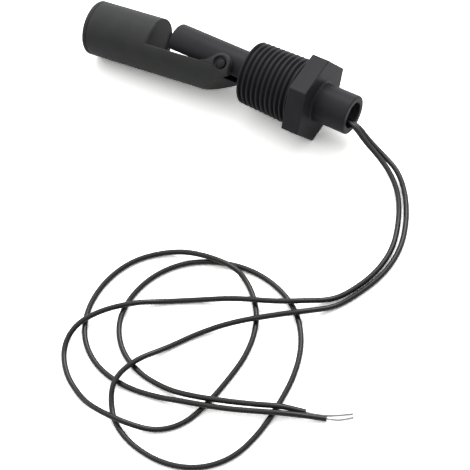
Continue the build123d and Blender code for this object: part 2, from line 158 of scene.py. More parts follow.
class FloatSettings(bpy.types.PropertyGroup):
    radius: length("Radius", "Of the round float", 9.35)
    reach: length("Reach", "From the hinge to the far end", 52.55)
    shoulder: length("Shoulder", "From the hinge to the round float's near face", 27.5)
    shoulder_edge: length("Shoulder edge", "Radius round the near face", 0.35)
    end_edge: length("End edge", "Radius round the far end", 0.4)
    cap: length("Cap", "Thickness of the far end's cap", 1.5)
    seam: length("Seam", "Radius of the edges at the cap's seam", 0.42)
    trough_top: length("Trough top", "From the hinge down to the top of the trough's walls", 0.97)
    trough_floor: length("Trough floor", "From the hinge down to the trough's floor", 2.3)
    trough_width: length("Trough width", "Between the walls", 12.6)
    shoulder_round: length("Shoulder round", "Radius of the near rim beside the slot", 1.3)
    slot_recess: length("Slot recess", "How far the slot runs into the shoulder", 0.5)
    ear_radius: length("Ear radius", "Of the ears about the hinge", 3.4)
    ear_web: length("Ear web", "Radius of the web from an ear to the wall's top", 8.0)
    tail_distance: length("Tail distance", "From the hinge to the tail's slanted end", 4.2)
    ear_hole: length("Ear hole", "Radius of the pivot hole", 1.675)
    recess_radius: length("Recess radius", "Of the round recess about the pin", 2.45)
    recess_depth: length("Recess depth", "Below the float's side", 1.2)
    tail_slant: angle("Tail slant", "Between the tail's end plane and the float's axis", 33.4)
    tail_round: length("Tail round", "Width of the round between underside and tail", 1.2)
    ear_edge: length("Ear edge", "Radius round the ears", 0.35)
    plastic: colour("Plastic", "Of the moulded float", (0.0385, 0.0395, 0.039))


class LeadSettings(bpy.types.PropertyGroup):
    diameter: length("Diameter", "Over the insulation", 1.7)
    core_diameter: length("Core diameter", "Of the bared conductors", 0.5)
    strands: bpy.props.IntProperty(
        name="Strands",
        description="Outer strands of a conductor, round one in the middle",
        default=6,
        min=3,
    )
    lay: length("Lay", "Length in which the strands turn once", 4.5, 0.5)
    insulation: colour("Insulation", "Of the leads", (0.0035, 0.0038, 0.0038))


class StageSettings(bpy.types.PropertyGroup):
    camera: place("Camera", "Where the camera stands", (0.1808, -0.2276, 0.3875))
    azimuth: angle("Azimuth", "Of the camera's view, from along +Y", 44.98)
    elevation: angle("Elevation", "Of the camera above the table", 57.81)
    roll: angle("Roll", "Of the camera about its own axis", -14.66)
    focal_pixels: number("Focal length", "In pixels of the picture's frame", 1500.0)
    key_power: number("Key power", "Of the soft box behind the part, in watts", 4.0)
    key_place: place("Key place", "Middle of the soft box", (-0.05, 0.52, 0.75))
    key_aim: place("Key aim", "What the soft box faces", (0.0, -0.04, 0.0))
    key_width: length("Key width", "Of the soft box", 550)
    key_height: length("Key height", "Of the soft box", 400)
    sky: number("Sky", "Mean strength of the light from all round", 0.8)
    sky_dark_side: number(
        "Sky's dark side", "Share of the strength on the side away from the light", 0.3
    )
    table_reach: length("Table reach", "From its middle to its sides", 1500)
    floor_albedo: number("Floor albedo", "How much light the table gives back to the part", 0.3)
    floor_lift: number("Floor lift", "Brightness of the table as the camera sees it", 1.85)
    floor_mirrored: number(
        "Floor mirrored", "Brightness of the table in shiny and clear surfaces", 0.9
    )


SETTINGS = {
    "switch_body": SwitchBodySettings,
    "switch_float": FloatSettings,
    "switch_leads": LeadSettings,
    "switch_stage": StageSettings,
}


# Shader expressions
class Value:
    """An output socket in an expression: arithmetic on it adds Math nodes to its finish."""

    def __init__(self, finish, socket):
        self.finish = finish
        self.socket = socket

    def combine(self, operation, *operands):
        inputs = dict(enumerate(operands))
        return self.finish.node("ShaderNodeMath", {"operation": operation}, inputs)

    def __add__(self, other):
        return self.combine("ADD", self, other)

    def __radd__(self, other):
        return self.combine("ADD", other, self)

    def __sub__(self, other):
        return self.combine("SUBTRACT", self, other)

    def __rsub__(self, other):
        return self.combine("SUBTRACT", other, self)

    def __mul__(self, other):
        return self.combine("MULTIPLY", self, other)

    def __rmul__(self, other):
        return self.combine("MULTIPLY", other, self)


class Finish:
    """A material under construction."""

    def __init__(self, name):
        self.material = bpy.data.materials.new(name)
        self.material.use_nodes = True
        self.tree = self.material.node_tree
        self.shader = self.tree.nodes["Principled BSDF"]
        self.output = self.tree.nodes["Material Output"]

    def node(self, kind, settings=None, inputs=None, output=0):
        """Adds a node, sets it up, fills or links its sockets and returns one output as a Value."""
        made = self.tree.nodes.new(kind)
        for key, value in (settings or {}).items():
            if key == "stops":
                self.set_stops(made.color_ramp, value)
            else:
                setattr(made, key, value)
        for key, value in (inputs or {}).items():
            self.fill(made.inputs[key], value)
        return Value(self, made.outputs[output])

    def set_stops(self, ramp, stops):
        """Gives a colour ramp its stops, each a place and a grey level."""
        while len(ramp.elements) < len(stops):
            ramp.elements.new(0.5)
        for element, (place, level) in zip(ramp.elements, stops):
            element.position = place
            element.color = (level, level, level, 1.0)

    def fill(self, socket, value):
        """Links a Value to a socket, or sets the socket's own number."""
        if isinstance(value, Value):
            self.tree.links.new(value.socket, socket)
        else:
            socket.default_value = value

    def shade(self, **sockets):
        """Fills sockets of the main shader, named with underscores for spaces."""
        for key, value in sockets.items():
            self.fill(self.shader.inputs[key.replace("_", " ")], value)

    def place(self):
        """Object coordinates, in metres."""
        return self.node("ShaderNodeTexCoord", output="Object")

    def noise(self, grain, detail=3.0, roughness=0.55, output="Fac"):
        """Noise whose blotches are about grain metres wide."""
        inputs = {
            "Vector": self.place(),
            "Scale": 1.0 / grain,
            "Detail": detail,
            "Roughness": roughness,
        }
        return self.node("ShaderNodeTexNoise", {}, inputs, output)

    def tint(self, amount, first, second):
        """Mixes two colours by a Value from 0 to 1."""
        inputs = {0: amount, 6: (*first, 1.0), 7: (*second, 1.0)}
        return self.node("ShaderNodeMix", {"data_type": "RGBA"}, inputs, 2)

    def whiten(self, lift, mirrored):
        """Shows camera, glossy and transmission rays a plain diffuse surface in place of the shader: it
        keeps its shadows, and lift for the camera and mirrored for the others turn open light white."""
        rays = {
            ray: self.node("ShaderNodeLightPath", output=f"Is {ray} Ray")
            for ray in ("Camera", "Glossy", "Transmission")
        }
        seen = rays["Camera"] + rays["Glossy"] + rays["Transmission"]
        colour = self.tint(rays["Camera"], (mirrored,) * 3, (lift, lift, lift * 0.985))
        plain = self.node("ShaderNodeBsdfDiffuse", {}, {"Color": colour})
        mixed = self.node("ShaderNodeMixShader", {}, {0: seen, 2: plain})
        self.tree.links.new(self.shader.outputs[0], mixed.socket.node.inputs[1])
        self.tree.links.new(mixed.socket, self.output.inputs["Surface"])

    def bump(self, height, distance, strength=1.0):
        """Normal from a height, where a height of one stands for distance metres."""
        inputs = {"Height": height, "Distance": distance, "Strength": strength}
        return self.node("ShaderNodeBump", {}, inputs, "Normal")


def moulded_plastic(name, base, gloss, grain=0.22 * MM):
    """Filled plastic from a mould: a fine grain, slow changes of sheen and faint pale flow marks."""
    finish = Finish(name)
    flow = finish.noise(6.0 * MM, 4.0)
    fine = finish.noise(grain, 2.0)
    mottle = finish.node(
        "ShaderNodeValToRGB",
        {"stops": [(0.35, 0.0), (0.7, 1.0)]},
        {"Fac": flow},
    )
    pale = tuple(channel * 1.1 for channel in base)
    dark = tuple(channel * 0.95 for channel in base)
    finish.shade(
        Base_Color=finish.tint(mottle, dark, pale),
        Roughness=gloss + 0.10 * flow + 0.05 * fine,
        Specular_IOR_Level=0.15,
        Normal=finish.bump(fine + 0.35 * flow, 0.012 * MM, 0.6),
    )
    return finish.material


def lead_insulation(name, base):
    """Soft glossy insulation with long faint scuffs."""
    finish = Finish(name)
    scuff = finish.noise(1.6 * MM, 3.0)
    fine = finish.noise(0.35 * MM, 2.0)
    pale = tuple(channel * 1.5 + 0.0008 for channel in base)
    finish.shade(
        Base_Color=finish.tint(scuff, base, pale),
        Roughness=0.20 + 0.14 * scuff,
        Specular_IOR_Level=0.5,
        Normal=finish.bump(scuff + 0.4 * fine, 0.015 * MM, 0.5),
    )
    return finish.material


def potting_resin(name, base):
    """Pale cured resin, glossy, a little cloudy."""
    finish = Finish(name)
    cloud = finish.noise(1.8 * MM, 4.0)
    shade = tuple(channel * 0.82 for channel in base)
    finish.shade(
        Base_Color=finish.tint(cloud, shade, base),
        Roughness=0.16 + 0.12 * cloud,
        Normal=finish.bump(cloud, 0.05 * MM, 0.4),
    )
    return finish.material


def bright_metal(name, base, gloss, grain=0.3 * MM):
    """Plated or tinned metal with a slightly uneven surface."""
    finish = Finish(name)
    wave = finish.noise(grain, 3.0)
    dull = tuple(channel * 0.72 for channel in base)
    finish.shade(
        Base_Color=finish.tint(wave, dull, base),
        Metallic=1.0,
        Roughness=gloss + 0.15 * wave,
        Normal=finish.bump(wave, 0.01 * MM, 0.5),
    )
    return finish.material


def clear_glass(name, base):
    """Greenish reed glass, seen as a thin tinted shell."""
    finish = Finish(name)
    seed = finish.noise(0.8 * MM, 2.0)
    finish.shade(
        Base_Color=finish.tint(seed, base, tuple(channel * 0.9 for channel in base)),
        Roughness=0.05 + 0.05 * seed,
        Alpha=0.35 + 0.1 * seed,
    )
    return finish.material


# Surfaces worked out as arrays
def quads(rows, columns, loop_rows=False, loop_columns=True):
    """Faces of a grid of rows by columns, each a quad of neighbouring points; either way may close."""
    down = np.arange(rows if loop_rows else rows - 1)
    along = np.arange(columns if loop_columns else columns - 1)
    first, second = np.meshgrid(down, along, indexing="ij")
    next_row = (first + 1) % rows
    next_column = (second + 1) % columns
    corners = (
        first * columns + second,
        first * columns + next_column,
        next_row * columns + next_column,
        next_row * columns + second,
    )
    return np.stack(corners, axis=-1).reshape(-1, 4)


def arc(centre, radius, start, end, count=5):
    """Points of a circle's arc in a plane, angles in degrees: centre + radius (cos t, sin t)."""
    angle = np.radians(np.linspace(start, end, count))
    return np.column_stack(
        (centre[0] + radius * np.cos(angle), centre[1] + radius * np.sin(angle))
    )


def lathe(profile, origin, direction, side, count=128):
    """A profile of (along, radius) turned about a line: origin + along d + radius (cos t u + sin t v)."""
    profile = np.asarray(profile, float)
    other = np.cross(direction, side)
    angle = np.linspace(0, 2 * np.pi, count, endpoint=False)
    round_ = np.cos(angle)[:, None] * side + np.sin(angle)[:, None] * other
    points = (
        origin
        + profile[:, 0][:, None, None] * direction
        + profile[:, 1][:, None, None] * round_[None]
    )
    return points.reshape(-1, 3), quads(len(profile), count)


def stack(sections, places, origin, direction, across, up):
    """Sections of (across, up) points carried along a line: origin + place d + a across + b up."""
    sections = np.asarray(sections, float)
    places = np.asarray(places, float)
    points = (
        origin
        + places[:, None, None] * direction
        + sections[:, :, 0, None] * across
        + sections[:, :, 1, None] * up
    )
    return points.reshape(-1, 3), quads(len(places), sections.shape[1])


def shell_object(name, shells, material):
    """One mesh object from closed shells: doubles merged, normals outwards, smooth, area weighted."""
    offset = 0
    points, faces = [], []
    for shell_points, shell_faces in shells:
        points.append(shell_points)
        faces.append(shell_faces + offset)
        offset += len(shell_points)
    mesh = bpy.data.meshes.new(name)
    mesh.from_pydata(np.concatenate(points).tolist(), [], np.concatenate(faces).tolist())
    work = bmesh.new()
    work.from_mesh(mesh)
    bmesh.ops.remove_doubles(work, verts=work.verts, dist=1e-7)
    bmesh.ops.dissolve_degenerate(work, edges=work.edges, dist=1e-7)
    bmesh.ops.recalc_face_normals(work, faces=work.faces)
    for face in work.faces:
        face.smooth = True
    work.to_mesh(mesh)
    work.free()
    mesh.materials.append(material)
    piece = bpy.data.objects.new(name, mesh)
    bpy.context.scene.collection.objects.link(piece)
    weighted = piece.modifiers.new("Weighted normals", "WEIGHTED_NORMAL")
    weighted.keep_sharp = True
    weighted.weight = 50
    return piece


def thread_shell(body, columns=176, rows_per_turn=16):
    """Tapered right-hand thread: radius = cone(x) - depth groove(x / pitch - angle / turn), held
    inside the cone of the lead-in."""
    turns = body.thread_length / body.thread_pitch
    rows = int(turns * rows_per_turn)
    x = np.linspace(-body.thread_length, 0.0, rows)
    angle = np.linspace(0, 2 * np.pi, columns, endpoint=False)
    place, turn = np.meshgrid(x, angle, indexing="ij")
    phase = (place / body.thread_pitch - turn / (2 * np.pi)) % 1.0
    distance = np.abs(phase - 0.5) * 2
    crest_share, root_share, rounding = 0.16, 0.14, 0.10
    flank = (distance - root_share) / (1 - crest_share - root_share)
    flank = np.clip(flank, 0.0, 1.0)
    height = flank - rounding * np.sin(2 * np.pi * flank)
    cone = body.thread_end_radius + (place + body.thread_length) * THREAD_TAPER / 2
    radius = cone - body.thread_depth * (1 - height)
    lead_in = body.thread_end_radius - body.thread_lead_in + (place + body.thread_length)
    radius = np.minimum(radius, lead_in)
    points = np.stack((place, radius * np.cos(turn), radius * np.sin(turn)), axis=-1)
    start = np.zeros((1, columns, 3))
    start[..., 0] = -body.thread_length
    inner = points[:1].copy()
    inner[..., 1:] *= 0.96
    end = np.zeros((1, columns, 3))
    seat = points[-1:].copy()
    inside_hexagon = body.hex_thickness / 4
    end[..., 0] = inside_hexagon
    seat[..., 0] = inside_hexagon
    points = np.concatenate((start, inner, points, seat, end))
    return points.reshape(-1, 3), quads(rows + 4, columns)


def hexagon(apothem, corner, inset):
    """Outline of a hexagon with rounded corners, drawn in by inset, its corners on the across axis."""
    round_ = max(corner - inset, 0.02 * MM)
    reach = (apothem - inset - round_) / np.cos(np.pi / 6)
    outline = []
    for side in range(6):
        middle = side * 60.0
        centre = reach * np.array((np.cos(np.radians(middle)), np.sin(np.radians(middle))))
        outline.append(arc(centre, round_, middle - 30, middle + 30, 6))
    return np.concatenate(outline)


def hex_shell(body):
    """Hexagon with all its edges rounded: outlines drawn in by r (1 - cos t) as they near each face."""
    edge = body.hex_edge
    apothem = body.hex_flats / 2
    corner = 0.6 * MM
    angle = np.radians(np.linspace(0, 90, 5))
    places = [0.0, 0.0]
    insets = [apothem, 2 * edge]
    for t in angle:
        places.append(edge - edge * np.cos(t))
        insets.append(edge - edge * np.sin(t))
    for t in angle[::-1]:
        places.append(body.hex_thickness - edge + edge * np.cos(t))
        insets.append(edge - edge * np.sin(t))
    places += [body.hex_thickness, body.hex_thickness]
    insets += [2 * edge, apothem]
    sections = [hexagon(apothem, corner, min(inset, apothem - 0.03 * MM)) for inset in insets]
    sections[0] *= 0.0
    sections[-1] *= 0.0
    return stack(sections, places, AXIS_POINT, TO_LEADS, ALONG_PINS, STEM_UP)


def boss_shell(body):
    """Round boss with a flared foot, a rounded rim and an open bore, as a turned profile."""
    foot = body.hex_thickness
    rim = body.hex_thickness + body.boss_length
    flare = 0.5 * MM
    lip = 0.25 * MM
    profile = np.concatenate(
        (
            [(foot - 1 * MM, 0.0), (foot - 1 * MM, body.boss_radius + flare)],
            arc((foot + flare, body.boss_radius + flare), flare, 180, 270),
            arc((rim - body.boss_edge, body.boss_radius - body.boss_edge), body.boss_edge, 90, 0),
            arc((rim - lip, body.bore_radius + lip), lip, 0, -90),
            [(rim - 6 * MM, body.bore_radius), (rim - 6 * MM, 0.0)],
        )
    )
    return lathe(profile, AXIS_POINT, TO_LEADS, ALONG_PINS)


def stem_outline(radius, flat, corner, inset):
    """Outline of the D section, drawn in by inset: a large arc, two small corner arcs and the flat."""
    big = radius - inset
    low = flat - inset
    small = max(corner - inset, 0.02 * MM)
    drop = low - small
    reach = np.sqrt((big - small) ** 2 - drop**2)
    tilt = np.degrees(np.arctan2(drop, reach))
    return np.concatenate(
        (
            arc((0, 0), big, -tilt, 180 + tilt, 61),
            arc((-reach, -drop), small, 180 + tilt, 270, 6)[1:],
            arc((reach, -drop), small, 270, 360 - tilt, 6)[:-1],
        )
    )


def stem_shell(body):
    """Stem carried along the thread axis, its outline drawn in round the tip."""
    tip = -body.thread_length - body.stem_length
    edge = body.stem_edge
    corner = 0.5 * MM
    places = [tip, tip]
    insets = [1.0 * MM, edge + 0.3 * MM]
    for t in np.radians(np.linspace(0, 90, 7)):
        places.append(tip + edge - edge * np.cos(t))
        insets.append(edge - edge * np.sin(t))
    places += [-body.thread_length + 1 * MM, -body.thread_length + 1 * MM]
    insets += [0.0, 0.0]
    sections = [stem_outline(body.stem_radius, body.stem_flat, corner, inset) for inset in insets]
    sections[0] *= 0.0
    sections[-1] *= 0.0
    return stack(sections, places, AXIS_POINT, TO_LEADS, ALONG_PINS, STEM_UP)


def pin_shell(body, side):
    """Hinge pin with a shallow domed end, as a turned profile about the hinge line."""
    dome = 0.25 * MM
    edge = 0.35 * MM
    start = body.stem_radius - 2 * MM
    end = body.pin_reach
    profile = np.concatenate(
        (
            [(start, 0.0), (start, body.pin_radius)],
            arc((end - edge - dome, body.pin_radius - edge), edge, 90, 25, 5),
            [(end - 0.3 * dome, body.pin_radius * 0.5), (end, 0.0)],
        )
    )
    return lathe(profile, HINGE, side * ALONG_PINS, TO_LEADS, 64)


def round_shell(buoy, columns=160):
    """The closed round end of the float, from its shoulder to the cap's seam: a turned profile whose
    near rim, an arc of radius e, is wider beside the slot: e follows |cos turn|."""
    seam = buoy.seam
    near = buoy.shoulder
    far = buoy.reach - buoy.cap
    turn = np.linspace(0, 2 * np.pi, columns, endpoint=False)
    slot_share = buoy.trough_width / 2 / buoy.radius
    blend = 0.06
    beside = np.clip((np.abs(np.cos(turn)) - slot_share) / blend + 0.5, 0, 1)
    beside = beside * beside * (3 - 2 * beside)
    edge = buoy.shoulder_edge + (buoy.shoulder_round - buoy.shoulder_edge) * beside
    still = np.zeros(columns)
    rows = [(still + near, still)]
    for t in np.radians(np.linspace(180, 90, 9)):
        rows.append((near + edge + edge * np.cos(t), buoy.radius - edge + edge * np.sin(t)))
    for t in np.radians(np.linspace(90, 0, 4)):
        along, out = far - seam + seam * np.cos(t), buoy.radius - seam + seam * np.sin(t)
        rows.append((still + along, still + out))
    rows.append((still + far, still))
    along, out = np.array(rows).transpose(1, 0, 2)
    points = (
        HINGE
        + along[..., None] * TO_FLOAT_END
        + (out * np.cos(turn))[..., None] * ALONG_PINS
        + (out * np.sin(turn))[..., None] * FLOAT_UP
    )
    return points.reshape(-1, 3), quads(len(rows), columns)


def cap_shell(buoy):
    """The far end's cap, with a rounded seam and a rounded rim, as a turned profile."""
    seam = buoy.seam
    near = buoy.reach - buoy.cap
    edge = buoy.end_edge
    profile = np.concatenate(
        (
            [(near, 0.0)],
            arc((near + seam, buoy.radius - seam), seam, 180, 90, 4),
            arc((buoy.reach - edge, buoy.radius - edge), edge, 90, 0, 7),
            [(buoy.reach, 0.0)],
        )
    )
    return lathe(profile, HINGE, TO_FLOAT_END, ALONG_PINS)


def smooth_max(a, b, blend):
    """The larger of two arrays, with a round of about blend where they meet."""
    share = np.clip(0.5 + 0.5 * (a - b) / blend, 0, 1)
    return b * (1 - share) + a * share + blend * share * (1 - share) / 2


def trough_shell(buoy):
    """The float's lower half as cross-sections along its axis: a round underside that a slanted plane
    cuts off at the tail, and walls round a trough whose floor falls away behind the hinge."""
    radius = buoy.radius - 0.004 * MM
    half = buoy.trough_width / 2
    edge = 0.3 * MM
    slant = buoy.tail_slant
    floor_break = buoy.trough_floor * np.tan(SWING / 2)
    fall = np.tan(SWING)
    floor_at_hinge = -buoy.trough_floor - floor_break * fall
    plane_at_hinge = -buoy.tail_distance / np.cos(slant)
    wedge = (plane_at_hinge - floor_at_hinge + 0.1 * MM) / (fall + np.tan(slant))
    near = np.linspace(wedge, buoy.radius, 64)
    far = np.linspace(buoy.radius, buoy.shoulder + buoy.shoulder_round + 1 * MM, 24)[1:]
    place = np.concatenate((near, far))[:, None]
    level = np.where(
        place < floor_break,
        -buoy.trough_floor + (place - floor_break) * fall,
        -buoy.trough_floor,
    )
    plane = plane_at_hinge - place * np.tan(slant)

    # Underside: from the right-hand wall's top round to the left-hand one
    top = -buoy.trough_top
    open_angle = np.degrees(np.arcsin((buoy.trough_top + edge) / radius))
    under = arc((0, 0), radius, -open_angle, open_angle - 180, 121)
    across = np.broadcast_to(under[:, 0], (len(place), len(under)))
    height = smooth_max(np.broadcast_to(under[:, 1], across.shape), plane, buoy.tail_round)

    # Wall tops and the trough between them
    outer = np.sqrt(radius**2 - (buoy.trough_top + edge) ** 2)
    left_top = np.concatenate(
        (
            arc((-outer + edge, top - edge), edge, 180, 90, 5),
            arc((-half - edge, top - edge), edge, 90, 0, 5),
        )
    )
    right_top = left_top[::-1] * (-1, 1)
    left_foot = arc((-half + edge, 0.0), edge, 180, 270, 5) + (0, edge)
    right_foot = left_foot[::-1] * (-1, 1)
    inner = np.concatenate((left_foot, right_foot))

    def spread(values):
        return np.broadcast_to(values, (len(place), len(values)))

    sections = np.stack(
        (
            np.concatenate(
                (across, spread(left_top[:, 0]), spread(inner[:, 0]), spread(right_top[:, 0])),
                axis=1,
            ),
            np.concatenate(
                (
                    height,
                    spread(left_top[:, 1]),
                    level + inner[:, 1][None],
                    spread(right_top[:, 1]),
                ),
                axis=1,
            ),
        ),
        axis=-1,
    )
    return stack(sections, place[:, 0], HINGE, TO_FLOAT_END, -ALONG_PINS, FLOAT_UP)


def ear_outline(buoy, turn):
    """Reach of an ear from the hinge in each direction: a circle above; the tail's upright end and its
    slanted plane, d / cos(t - n), below; and the concave arc of the web down to the wall's top. Between
    plane and web it stays inside the wall."""
    away = (turn + np.pi / 2) % (2 * np.pi) - np.pi / 2
    top = buoy.trough_top
    web = buoy.ear_web
    apart = buoy.ear_radius + web
    web_turn = np.arcsin((web - top) / apart)
    web_foot = web_turn - np.arcsin(web / apart)
    offset = apart * np.sin(away - web_turn)
    with np.errstate(all="ignore"):
        upright = buoy.ear_radius / -np.cos(away)
        plane = buoy.tail_distance / np.cos(away - 1.5 * np.pi + buoy.tail_slant)
        concave = apart * np.cos(away - web_turn) - np.sqrt(web**2 - offset**2)
        sunk = (top + 0.08 * MM) / np.sin(-away)
    inside = 0.88 * buoy.ear_radius
    tail_end = np.radians(265)
    return np.select(
        [
            away > tail_end,
            away > np.pi,
            away > web_turn,
            away > web_foot,
            away > np.radians(-30),
        ],
        [inside, np.minimum(upright, plane), buoy.ear_radius, concave, np.maximum(sunk, inside)],
        inside,
    )


def ear_shell(buoy, side, columns=240):
    """An ear as a ring about the hinge: hole, recess, outer face on the float's round side, rim and
    inner face, each a line whose distance from the middle follows sqrt(radius^2 - up^2)."""
    half = buoy.trough_width / 2
    floor = buoy.radius - buoy.recess_depth
    edge = buoy.ear_edge
    lip = 0.12 * MM
    turn = np.linspace(0, 2 * np.pi, columns, endpoint=False)
    outline = ear_outline(buoy, turn)
    # Each ring: radius about the hinge, a fixed distance from the middle or a depth below the side
    rings = [
        (buoy.ear_hole, half, None),
        (buoy.ear_hole, floor - lip, None),
        (buoy.ear_hole + lip, floor, None),
        (buoy.recess_radius - lip, floor, None),
        (buoy.recess_radius, floor + lip, None),
        (buoy.recess_radius, None, lip),
        (buoy.recess_radius + 0.3 * lip, None, 0.3 * lip),
        (buoy.recess_radius + lip, None, 0.0),
    ]
    inner = buoy.recess_radius + lip
    for share in np.linspace(0.2, 1, 6):
        rings.append((inner + share * (outline - edge - inner), None, 0.0))
    for t in np.radians(np.linspace(15, 90, 6)):
        reach = outline - edge + edge * np.sin(t)
        rings.append((reach, None, edge - edge * np.cos(t)))
    rings += [
        (outline, half + edge, None),
        (outline - 0.3 * edge, half + 0.3 * edge, None),
        (outline - edge, half, None),
    ]
    radius = np.array([np.broadcast_to(ring[0], columns) for ring in rings])
    along = radius * np.cos(turn)
    height = radius * np.sin(turn)
    side_face = np.sqrt(buoy.radius**2 - height**2)
    fixed = np.array([ring[1] if ring[1] is not None else np.nan for ring in rings])[:, None]
    depth = np.array([ring[2] if ring[2] is not None else 0.0 for ring in rings])[:, None]
    out = np.where(np.isnan(fixed), side_face - depth, fixed)
    points = (
        HINGE
        + along[..., None] * TO_FLOAT_END
        + height[..., None] * FLOAT_UP
        + side * out[..., None] * ALONG_PINS
    )
    return points.reshape(-1, 3), quads(len(rings), columns, loop_rows=True)


def potting_shell(body):
    """The resin's face below the rim: a shallow dish that climbs the bore's wall, as a turned profile."""
    face = body.hex_thickness + body.boss_length - body.potting_depth
    wall = body.bore_radius - 0.01 * MM
    climb = 0.35 * MM
    share = np.linspace(0, 1, 14)
    dish = np.column_stack((face + climb * share**6, wall * share))[::-1]
    profile = np.concatenate(([(face - 3 * MM, 0.0), (face - 3 * MM, wall)], dish))
    return lathe(profile, AXIS_POINT, TO_LEADS, ALONG_PINS, 96)


# The leads' routes, in millimetres: out of the potting, down to the table and round in loose loops
LEAD_LOW = FLOOR / MM + 0.85
LEAD_OVER = LEAD_LOW + 2.25
CORE_LOW = FLOOR / MM + 0.27
POTTING_FACE = 14.15
LEAD_1_ROUTE = [
    (POTTING_FACE, -1.8, -1.6),
    (18.9, -1.8, -1.6),
    (24.2, -4.0, -4.8),
    (30.3, -5.9, -7.2),
    (36.3, -8.8, -9.1),
    (41.9, -13.9, -10.9),
    (46.3, -22.0, LEAD_LOW),
    (49.4, -31.5, LEAD_LOW),
    (48.8, -41.5, LEAD_LOW),
    (45.0, -51.0, LEAD_LOW),
    (41.3, -55.7, LEAD_LOW),
    (35.8, -60.2, LEAD_OVER),
    (28.0, -64.8, LEAD_OVER),
    (16.0, -69.8, LEAD_OVER),
    (5.0, -75.2, LEAD_LOW),
    (-4.6, -81.0, LEAD_LOW),
    (-10.2, -85.6, LEAD_OVER),
    (-18.0, -92.7, LEAD_OVER),
    (-22.6, -100.8, LEAD_OVER),
    (-22.6, -108.5, LEAD_LOW),
    (-16.4, -115.6, LEAD_LOW),
    (-8.0, -119.6, LEAD_LOW),
    (-1.0, -121.2, LEAD_OVER),
    (9.5, -120.6, LEAD_OVER),
    (18.5, -117.8, LEAD_LOW),
    (24.8, -111.5, LEAD_LOW),
    (27.2, -102.5, LEAD_LOW),
    (28.4, -93.0, LEAD_LOW),
    (28.8, -84.0, LEAD_LOW),
    (27.0, -75.5, LEAD_LOW),
    (22.6, -68.0, LEAD_LOW),
    (16.0, -62.4, LEAD_LOW),
    (9.5, -60.2, LEAD_OVER),
    (-4.0, -62.0, LEAD_OVER),
    (-13.5, -65.6, LEAD_LOW),
    (-20.8, -73.0, LEAD_LOW),
    (-24.3, -83.0, LEAD_LOW),
    (-23.7, -94.0, LEAD_LOW),
    (-18.5, -103.3, LEAD_LOW),
    (-9.5, -109.0, LEAD_LOW),
    (1.5, -110.4, LEAD_LOW),
    (12.0, -108.6, LEAD_LOW),
    (21.5, -106.3, LEAD_OVER),
    (32.0, -102.9, LEAD_OVER),
    (41.0, -99.0, LEAD_OVER),
    (51.0, -94.3, LEAD_OVER),
    (60.4, -89.9, LEAD_LOW),
]
LEAD_2_ROUTE = [
    (POTTING_FACE, -0.5, -3.1),
    (19.4, -0.5, -3.1),
    (24.6, -2.4, -6.1),
    (30.9, -4.1, -8.4),
    (37.5, -6.5, -9.7),
    (43.4, -12.2, -11.4),
    (48.5, -20.9, LEAD_LOW),
    (51.6, -30.6, LEAD_LOW),
    (51.2, -40.9, LEAD_LOW),
    (47.1, -51.5, LEAD_LOW),
    (43.6, -57.3, LEAD_LOW),
    (38.6, -62.6, LEAD_OVER),
    (31.3, -67.9, LEAD_OVER),
    (20.2, -76.8, LEAD_OVER),
    (11.8, -84.6, LEAD_LOW),
    (6.0, -93.5, LEAD_LOW),
    (1.6, -100.8, LEAD_OVER),
    (-0.9, -107.2, LEAD_OVER),
    (-0.6, -112.4, LEAD_OVER),
    (1.6, -116.9, LEAD_LOW),
    (6.5, -121.8, LEAD_LOW),
    (15.0, -125.0, LEAD_LOW),
    (26.5, -125.2, LEAD_LOW),
    (36.5, -121.2, LEAD_LOW),
    (43.2, -113.5, LEAD_LOW),
    (45.7, -103.5, LEAD_LOW),
    (45.9, -92.5, LEAD_LOW),
    (44.9, -81.5, LEAD_LOW),
    (41.2, -71.6, LEAD_LOW),
    (34.5, -63.8, LEAD_LOW),
    (25.5, -59.4, LEAD_LOW),
    (15.5, -58.0, LEAD_LOW),
    (6.0, -59.6, LEAD_LOW),
    (-3.5, -64.0, LEAD_LOW),
    (-10.6, -71.8, LEAD_LOW),
    (-13.9, -81.8, LEAD_LOW),
    (-12.9, -92.2, LEAD_LOW),
    (-6.5, -100.4, LEAD_LOW),
    (3.0, -104.5, LEAD_LOW),
    (13.0, -104.9, LEAD_LOW),
    (21.5, -104.0, LEAD_OVER),
    (31.5, -100.5, LEAD_OVER),
    (40.3, -96.9, LEAD_OVER),
    (47.0, -93.8, LEAD_OVER),
    (51.0, -92.1, -10.9),
    (54.0, -91.0, LEAD_LOW),
]
CORE_1_ROUTE = [
    LEAD_1_ROUTE[-1],
    (62.6, -88.87, -12.376),
    (64.9, -87.4, CORE_LOW),
    (66.9, -85.5, CORE_LOW),
]
CORE_2_ROUTE = [
    LEAD_2_ROUTE[-1],
    (55.4, -90.486, -12.293),
    (58.5, -89.4, CORE_LOW),
    (62.2, -87.5, CORE_LOW),
    (66.2, -84.6, CORE_LOW),
]
LEAD_1_LENGTH = 0.431
LEAD_2_LENGTH = 0.407


def smooth_route(name, route, resolution=12):
    """A curve object with one open NURBS spline of order three through a route's control points."""
    curve = bpy.data.curves.new(name, "CURVE")
    curve.dimensions = "3D"
    curve.resolution_u = resolution
    spline = curve.splines.new("NURBS")
    spline.points.add(len(route) - 1)
    points = np.column_stack((np.array(route) * MM, np.ones(len(route))))
    spline.points.foreach_set("co", points.ravel())
    spline.order_u = 3
    spline.use_endpoint_u = True
    piece = bpy.data.objects.new(name, curve)
    bpy.context.scene.collection.objects.link(piece)
    return piece


def line_points(piece):
    """The points that Blender draws a bare curve through, in order."""
    bpy.context.view_layer.update()
    evaluated = piece.evaluated_get(bpy.context.evaluated_depsgraph_get())
    mesh = bpy.data.meshes.new_from_object(evaluated)
    points = np.empty(len(mesh.vertices) * 3)
    mesh.vertices.foreach_get("co", points)
    bpy.data.meshes.remove(mesh)
    return points.reshape(-1, 3)


